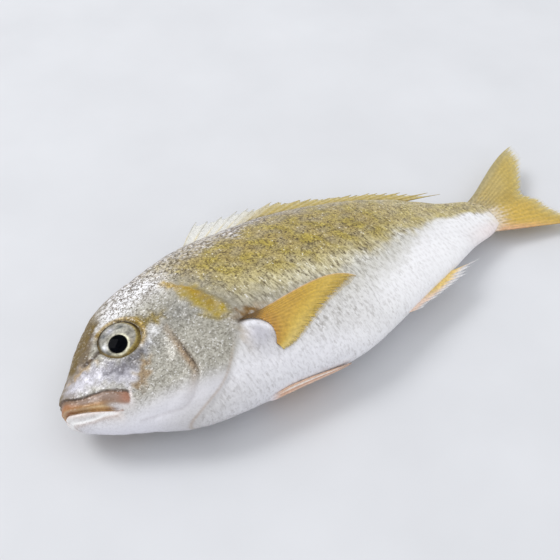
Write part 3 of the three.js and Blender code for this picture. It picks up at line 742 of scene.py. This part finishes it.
def clear_cornea():
    """The iris, mottled 1.4 mm across, seen through a clear wet cornea. To the eye it has a mirror-like gloss,
    which ends at the pupil's edge."""
    material, tree, shader = new_material("clear_cornea_over_iris")
    tint = add_node(tree, "Attribute", {"attribute_name": "tint"}, {})
    colour, _ = clouded(tree, tint, 700, 0.6, 0.5, 1.4)
    wetness = add_node(tree, "Attribute", {"attribute_name": "wetness"}, {})
    feed(shader, {
        "Base Color": colour, "Coat Weight": wetness.outputs["Fac"], "Specular IOR Level": 0.0,
        "Roughness": 0.4, "Coat Roughness": 0.04})
    return material


cornea = clear_cornea()
for name, flank in (("left_eye", 1), ("right_eye", -1)):
    eye = eye_ball(name, flank)
    eye.data.materials.append(cornea)
    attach(eye, "root")
    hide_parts("fish")

# The back fin. Spines in front and soft rays behind, joined by a thin clear web, grown out of the ridge of the
# back. It lies folded tailwards, so that the tips of the spines stand out of the web's edge.


def fin_sheet(name, place, rays, across, out, web_reach, fray, seed, thickness, point=1.5):
    """A closed thin sheet over place(a, b), a across the fin and b from root to edge. The ripple cos²(pi · ray)
    makes rays thicker and longer than the web between them, whose reach is given along the fin, and a ray's
    end is finer the higher its point. Each ray's length is drawn at random, the rays split in four towards
    the edge, and the thickness is given at root and edge. Gives the piece, and a, b and the ripple at each
    of its points."""
    draw = np.random.default_rng(seed)
    a = np.linspace(0, 1, across)[:, None]
    b = (np.linspace(0, 1, out) ** 0.85)[None, :]
    phase = a * (rays - 1)
    ray = np.cos(np.pi * phase) ** 2
    twig = np.cos(4 * np.pi * phase) ** 2
    lengths = 1 - fray * draw.uniform(0, 1, rays)
    lengths[0] = lengths[-1] = 1
    twigs = 1 - 0.8 * fray * draw.uniform(0, 1, 4 * rays)
    own = np.interp(phase, np.arange(rays), lengths)
    split = np.interp(phase * 4, np.arange(4 * rays), twigs)
    web = np.interp(a, np.linspace(0, 1, len(web_reach)), web_reach)
    reach = own * split * (web + (1 - web) * ray**point)
    p = place(a, b * reach)
    side, outwards = np.gradient(p, axis=0), np.gradient(p, axis=1)
    normal = np.cross(outwards, side)
    normal /= np.linalg.norm(normal, axis=-1, keepdims=True) + 1e-9
    rib = ray * (1 - b) + (0.45 * ray + 0.55 * twig) * b
    half = 0.5 * (thickness[0] + (thickness[1] - thickness[0]) * b) * (0.35 + 0.65 * rib)
    upper, lower = p + normal * half[..., None], p - normal * half[..., None]
    points = np.concatenate([upper.reshape(-1, 3), lower.reshape(-1, 3)])
    top = np.arange(across * out).reshape(across, out)
    low = top + across * out

    def strip(one, two):
        return np.stack([one[:-1], one[1:], two[1:], two[:-1]], -1)

    faces = np.concatenate([
        np.stack([top[:-1, :-1], top[:-1, 1:], top[1:, 1:], top[1:, :-1]], -1).reshape(-1, 4),
        np.stack([low[:-1, :-1], low[1:, :-1], low[1:, 1:], low[:-1, 1:]], -1).reshape(-1, 4),
        strip(top[:, 0], low[:, 0]), strip(low[:, -1], top[:, -1]),
        strip(low[0], top[0]), strip(top[-1], low[-1]),
    ])
    values = [np.broadcast_to(q, (across, out)).ravel() for q in (a, b, rib)]
    return new_piece(name, points, faces), [np.tile(q, 2) for q in values]


def folded_fin(a, b, along, above, side, stretch, sweeps, rises, droop):
    """A ray's root lies on the body's edge, sunk 2 mm; the ray goes tailwards along the edge by its sweep
    and away from it by its rise times 1 - (1 - b)^1.25, and droops a little."""
    line = np.linspace(1, LAST_RIB, 700)
    k = np.interp(stretch[0] + (stretch[1] - stretch[0]) * a, along(line), line)
    rx, ry = along(k), above(k)
    tx, ty = along(k + 0.05) - rx, above(k + 0.05) - ry
    size = np.hypot(tx, ty)
    tx, ty = tx / size, ty / size
    back = natural_cubic(sweeps, a * (len(sweeps) - 1)) * b
    up = natural_cubic(rises, a * (len(rises) - 1)) * (1 - (1 - b) ** 1.25) - 2 * (1 - b)
    x = rx + tx * back - ty * side * up
    y = ry + ty * back + tx * side * up
    return np.stack([x, y, mid_height(k) - droop * b], -1)


def back_fin_place(a, b):
    """The back fin's rays, from 89 to 212 mm along the fish."""
    return folded_fin(a, b, back_along, back_above, side=1, stretch=(89, 212), sweeps=[23, 30, 29, 28, 30],
                      rises=[17, 12, 7.5, 6, 5.5], droop=1)


def wet_fin(name, clearness):
    """Wet fin skin: soft rays with a thin clear web between them. To the eye it is a streaked, slightly
    see-through film with a wet gloss."""
    material, tree, shader = new_material(name)
    tint = add_node(tree, "Attribute", {"attribute_name": "tint"}, {})
    film = add_node(tree, "Attribute", {"attribute_name": "film"}, {})
    parts = add_node(tree, "SeparateColor", {}, {"Color": film})
    colour, noise = clouded(tree, tint, 650, 0.6, 0.8, 1.18)  # blotches of pigment 1.5 mm across
    clear = add_node(tree, "Math", PRODUCT, [parts.outputs["Red"], clearness])
    alpha = add_node(tree, "Math", DIFFERENCE, [1.0, clear])
    bump = add_node(tree, "Bump", {}, {"Height": noise, "Distance": 0.0001, "Strength": 0.5})
    feed(shader, {
        "Base Color": colour, "Alpha": alpha, "Normal": bump, "Roughness": 0.36, "Coat Weight": 0.4,
        "Coat Roughness": 0.12})
    return material


def put_film(piece, clear):
    """Stores how clear the fin is at each point."""
    put_colour(piece, "film", np.repeat(np.clip(clear, 0, 1)[:, None], 3, 1))


back_fin, (a, b, rib) = fin_sheet(
    "back_fin", back_fin_place, rays=23, across=529, out=24,
    web_reach=[0.84, 0.87, 0.92, 0.95, 0.92, 0.84, 0.7], fray=0.14, seed=11, thickness=(0.9, 0.22), point=5)
soft = rise(a, 0.14, 0.22)  # 0 at the spines and 1 at the soft rays
spine = rib**5
root_band = 1 - smooth_step((b - 0.22 - 0.2 * soft) / 0.15)
put_colour(back_fin, "tint", painted("#f1efe6", [
    ("#b3980e", 0.95 * soft * (0.75 + 0.25 * rib)),
    ("#7d6624", 0.9 * root_band * (1 - 0.4 * rise(a, 0.5, 0.3))),
    ("#d8bb4a", 0.6 * hump(b - 0.45, 0.16) * (1 - soft) * spine),
    ("#8f897b", 0.75 * rise(b, 0.5, 0.3) * spine * (1 - soft)),
    ("#ecdc8c", 0.4 * rise(b, 0.6, 0.3) * (1 - rib) * soft),
]))
web = rise(b, 0.2, 0.3) * (1 - 0.9 * spine)
put_film(back_fin, web * (0.65 - 0.55 * soft) + 0.5 * rise(b, 0.7, 0.3) * soft * (1 - 0.7 * rib))
back_fin.data.materials.append(wet_fin("clear_fin_web", 0.9))
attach(back_fin, "root")
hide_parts("fish")

# The fin behind the vent. Shorter and softer, it is grown out of the belly's ridge and hangs down over the
# slab, orange at its root and clear at its tips.


def vent_fin_place(a, b):
    """The vent fin's rays, from 167 to 204 mm along the belly."""
    return folded_fin(a, b, belly_along, belly_above, side=-1, stretch=(167, 204), sweeps=[15, 20, 22, 24, 25],
                      rises=[3, 5, 6.5, 7, 6], droop=2.5)


vent_fin, (a, b, rib) = fin_sheet(
    "vent_fin", vent_fin_place, rays=11, across=241, out=24, web_reach=[0.9, 0.8, 0.75], fray=0.16, seed=12,
    thickness=(1.0, 0.25))
put_colour(vent_fin, "tint", painted("#eaeaec", [
    ("#f7d9c4", 0.95 * (1 - rise(b, 0.55, 0.4)) * (1 - 0.5 * rise(a, 0.3, 0.4))),
    ("#e9c663", 0.9 * (1 - rise(b, 0.45, 0.35)) * rise(a, 0.2, 0.4)),
]))
put_film(vent_fin, rise(b, 0.45, 0.45) * (1 - 0.6 * rib))
vent_fin.data.materials.append(wet_fin("soft_fin_web", 0.6))
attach(vent_fin, "root")
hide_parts("fish")

# The tail fin. Two lobes of branched soft rays fan out of the scaly root, and its lower lobe droops to the
# slab.


def tail_place(a, b):
    """Each ray runs straight from the root line to the edge line, and in the upper lobe bows upwards past its
    middle. The first rays start further forward on the back, which they leave in a hollow curve."""
    root = [natural_cubic(q, 2 * a) for q in ([251.5, 255, 248], [23.5, 12, 0.5], [11.4, 11, 11])]
    root[0] = root[0] - 3 * np.maximum(1 - a / 0.12, 0) ** 2
    tip = [natural_cubic(q, 8 * a) for q in (
        [305, 306, 301, 295.5, 288.5, 294, 296, 303.5, 317],
        [50, 43.5, 36, 28, 18, 9.5, 1.5, -7.5, -18],
        [14, 13, 12, 10.5, 9, 8, 7, 5.5, 4.2])]
    bow = (4 * b ** 2 * (1 - b), 22 * b ** 2.3 * (1 - b) - 12 * b * (1 - b) ** 5, 0)
    return np.stack([(1 - b) * r + b * t + w * (1 - a) ** 2 for r, t, w in zip(root, tip, bow)], -1)


tail_fin, (a, b, rib) = fin_sheet(
    "tail_fin", tail_place, rays=17, across=449, out=40, web_reach=[0.985, 0.99, 0.995, 0.99, 0.985], fray=0.03,
    seed=13, thickness=(1.1, 0.3))
x, y, _ = tail_place(a, b).T
root_edge = np.interp(y, [-3, 3.6, 8.9, 15.8, 20.3, 26], [252, 262, 265, 265, 262, 257])
on_root = smooth_step((root_edge + 6 + 1.2 * rib + 2 * mottle(x, y, 1.3, 14) - x) / 13)
put_colour(tail_fin, "tint", painted("#c9ae52", [
    ("#b9a568", 0.7 * (1 - rise(a, 0.3, 0.25)) * (1 - rise(b, 0.4, 0.4))),
    ("#9d977c", 0.75 * (1 - smooth_step(a / 0.12)) * (1 - 0.4 * b)),
    ("#d3ac3c", 0.7 * rise(a, 0.45, 0.2) * hump(b - 0.5, 0.45)),
    ("#e0a878", 0.85 * rise(a, 0.84, 0.16) * (1 - rise(b, 0.25, 0.5))),
    ("#e2b592", 0.6 * rise(a, 0.62, 0.3) * (1 - rise(b, 0.12, 0.3))),
    ("#a8892e", 0.5 * hump(np.hypot((x - 277) / 9, (y - 18) / 5), 1)),
    ("#eadf9c", 0.55 * rise(b, 0.7, 0.3) * (1 - 0.4 * rib)),
    ("#97803a", 0.3 * (1 - rib) * rise(b, 0.1, 0.2)),
    ("#e2d6c6", 0.85 * on_root * fall(y, 17, 3)),
    ("#a99c74", 0.9 * on_root * rise(y, 13, 4)),
    ("#8a6d3a", 0.35 * smooth_step(2 * mottle(x, y, 1.2, 23) - 0.6) * fall(x, 274, 12)),
]))
streak = smooth_step(0.55 + 0.5 * mottle(a * 300, b * 6, 3, 17))
web = 0.3 * rise(b, 0.5, 0.5) * (1 - 0.6 * rib)
put_film(tail_fin, web + streak * rise(b, 0.84, 0.14) + rise(b, 0.93, 0.07))
tail_fin.data.materials.append(wet_fin("branched_fin_web", 0.95))
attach(tail_fin, "root")
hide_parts("fish")

# The pectoral fins. Golden, with fine rays, each folded back along its flank from the fleshy root behind the
# gill cover.


def pectoral_place(flank):
    """Arcs from the root line to the edge line in the side view, fullest past their middle, laid on the flank
    with its relief."""
    def place(a, b):
        root = [natural_cubic(q, 5 * a) for q in (
            [88, 93.5, 97.5, 100, 100, 98.2],
            [-10, -12, -14.8, -18.8, -23.4, -27.4])]
        tip = [natural_cubic(q, 7 * a) for q in (
            [153.4, 150.6, 143.5, 133.8, 123.8, 115, 107.2, 100],
            [-10.8, -12.6, -15, -18.6, -23.3, -27.6, -30.3, -31])]
        bow = (5 * (1 - a) ** 2, 4.6 * (1 - a) + 2.6 * (1 - a) ** 3)
        arcs = [(1 - b) * r + b * t + 5.2 * b ** 2.3 * (1 - b) * w for r, t, w in zip(root, tip, bow)]
        x, y = np.broadcast_arrays(*arcs)
        bones = head_relief(x.ravel(), y.ravel()).reshape(x.shape) * (1 - rise(x, 108, 10))
        lift = 0.75 + 0.3 * smooth_step(b / 0.4) - 0.55 * rise(b, 0.6, 0.4)
        z = flank_height(x, y, flank) + flank * (lift + bones)
        return np.stack([x, y, np.maximum(z, 0.45)], -1)  # the fin under the fish lies on the slab
    return place


pectoral_web = wet_fin("golden_fin_web", 0.9)
for name, flank in (("left_pectoral", 1), ("right_pectoral", -1)):
    fin, (a, b, rib) = fin_sheet(
        name, pectoral_place(flank), rays=15, across=281, out=44, web_reach=[1.0], fray=0.02, seed=15,
        thickness=(0.9, 0.3))
    put_colour(fin, "tint", painted("#c49c38", [
        ("#cdab36", 0.8 * rise(b, 0.35, 0.4)),
        ("#d6b850", 0.7 * rise(a, 0.35, 0.35) * rise(b, 0.25, 0.4)),
        ("#b5812a", 0.75 * (1 - rise(b, 0.02, 0.3))),
        ("#e2b98a", 0.85 * (1 - rise(a, 0.01, 0.03)) * rise(b, 0.15, 0.1)),
        ("#5e421a", 0.9 * (1 - smooth_step((b - 0.05) / 0.16 + (a - 0.12) / 0.25))),
        ("#d8bd68", 0.55 * rise(b, 0.5, 0.4) * (1 - 0.5 * rib)),
        ("#ddc67a", 0.7 * rise(a, 0.5, 0.4) * rise(b, 0.35, 0.5)),
        ("#8f6a22", 0.14 * (1 - rib) * (1 - rise(b, 0.7, 0.3))),
    ]))
    streak = smooth_step(0.5 + 0.5 * mottle(a * 200, b * 6, 3, 19))
    fringe = (0.5 * (1 - rib) + 0.6 * streak) * rise(b, 0.72, 0.24) + rise(b, 0.9, 0.1)
    put_film(fin, fringe * (0.6 + 0.4 * smooth_step(a / 0.2)))
    fin.data.materials.append(pectoral_web)
    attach(fin, "root")
    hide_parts("fish")

# The pelvic fins. Two narrow blades folded together along the belly, grown out of its skin, pink and cream.


def belly_place(x, z):
    """The belly's surface at a distance along the fish and a height over the slab, found by halving."""
    line = np.linspace(1, LAST_RIB, 700)
    k = np.interp(x, belly_along(line), line)
    low, high = np.full(np.shape(x), np.pi / 2), np.full(np.shape(x), 1.5 * np.pi)
    for _ in range(HALVINGS):
        v = (low + high) / 2
        above = body_point(k, v)[2] > z
        low, high = np.where(above, v, low), np.where(above, high, v)
    return body_point(k, v)


def pelvic_place(height, half_blade):
    """A blade from 84 to 131 mm, its half width spread along it as 0.5, 1, 0.9, 0.6 and 0.12 of the full one.
    Its front is sunk in the belly and its tip stands 1.2 mm off it."""
    def place(a, b):
        spread = half_blade * natural_cubic([0.5, 1, 0.9, 0.6, 0.12], 4 * b)
        z = height + spread * (1 - 2 * a)
        x, z = np.broadcast_arrays(84 + 47 * b, z)
        px, py, pz = belly_place(x, z)
        return np.stack([px, py + 0.9 - 1.15 * smooth_step(b / 0.12) - 0.95 * b, pz], -1)
    return place


pelvic_web = wet_fin("pale_fin_web", 0.3)
for name, height, half_blade in (("left_pelvic", 17.8, 3.8), ("right_pelvic", 9.5, 3.0)):
    fin, (a, b, rib) = fin_sheet(
        name, pelvic_place(height, half_blade), rays=6, across=81, out=60, web_reach=[0.98], fray=0.03, seed=16,
        thickness=(1.1, 0.4))
    put_colour(fin, "tint", painted("#e4bda2", [
        ("#fbf6f0", 0.9 * hump(a - 0.2, 0.09) * rise(b, 0.1, 0.2)),
        ("#fbf6f0", 0.6 * hump(a - 0.62, 0.07) * rise(b, 0.2, 0.2)),
        ("#cf9370", 0.7 * hump(a - 0.42, 0.1) * smooth_step(b / 0.2)),
        ("#e4dfe4", 1 - rise(b, 0.05, 0.14)),
    ]))
    put_film(fin, 0.6 * rise(b, 0.8, 0.2))
    fin.data.materials.append(pelvic_web)
    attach(fin, "root")
    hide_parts("fish")

# The plain pale floor, a soft studio light from behind the fish's back, and the camera.


def plain_floor():
    """A square of pale matt board, 3 m wide, at the height that the fish lies on, with faint clouds 70 mm
    across."""
    half = 1.5
    mesh = bpy.data.meshes.new("floor")
    corners = [(-half, -half, 0), (half, -half, 0), (half, half, 0), (-half, half, 0)]
    mesh.from_pydata(corners, [], [(0, 1, 2, 3)])
    material, tree, shader = new_material("pale_matt_board")
    colour, _ = clouded(tree, tuple(linear("#dadbdf")), 14, 0.5, 0.97, 1.03)
    feed(shader, {"Base Color": colour, "Roughness": 0.6, "Specular IOR Level": 0.2})
    mesh.materials.append(material)
    return new_object("floor", mesh)


plain_floor()

TARGET = Vector((-0.03155, 0.002, 0.02))  # the point on the fish that the camera looks at
BACK = Vector((-0.3410, -0.5906, 0.7314))  # from there back to the camera
TOWARD_LAMP = Vector((-0.43, 0.47, 0.77))
CAMERA_DISTANCE, LAMP_DISTANCE = 0.5, 4
camera = new_object("camera", bpy.data.cameras.new("camera"))
lamp = new_object("window_light", bpy.data.lights.new("window_light", "AREA"))
for thing, away, distance in ((camera, BACK, CAMERA_DISTANCE), (lamp, TOWARD_LAMP, LAMP_DISTANCE)):
    thing.location = TARGET + away * distance
    thing.rotation_euler = away.to_track_quat("Z", "Y").to_euler()
camera.data.sensor_width = 36
camera.data.lens = 62.77
camera.data.clip_start = 0.01
bpy.context.scene.camera = camera
lamp.data.shape = "SQUARE"
lamp.data.size = 1.6
lamp.data.energy = 60

world = bpy.data.worlds.new("soft_room")
bpy.context.scene.world = world
world.use_nodes = True
feed(world.node_tree.nodes["Background"], {"Color": (0.97, 0.985, 1.0, 1), "Strength": 0.85})
bpy.context.scene.view_settings.view_transform = "Standard"
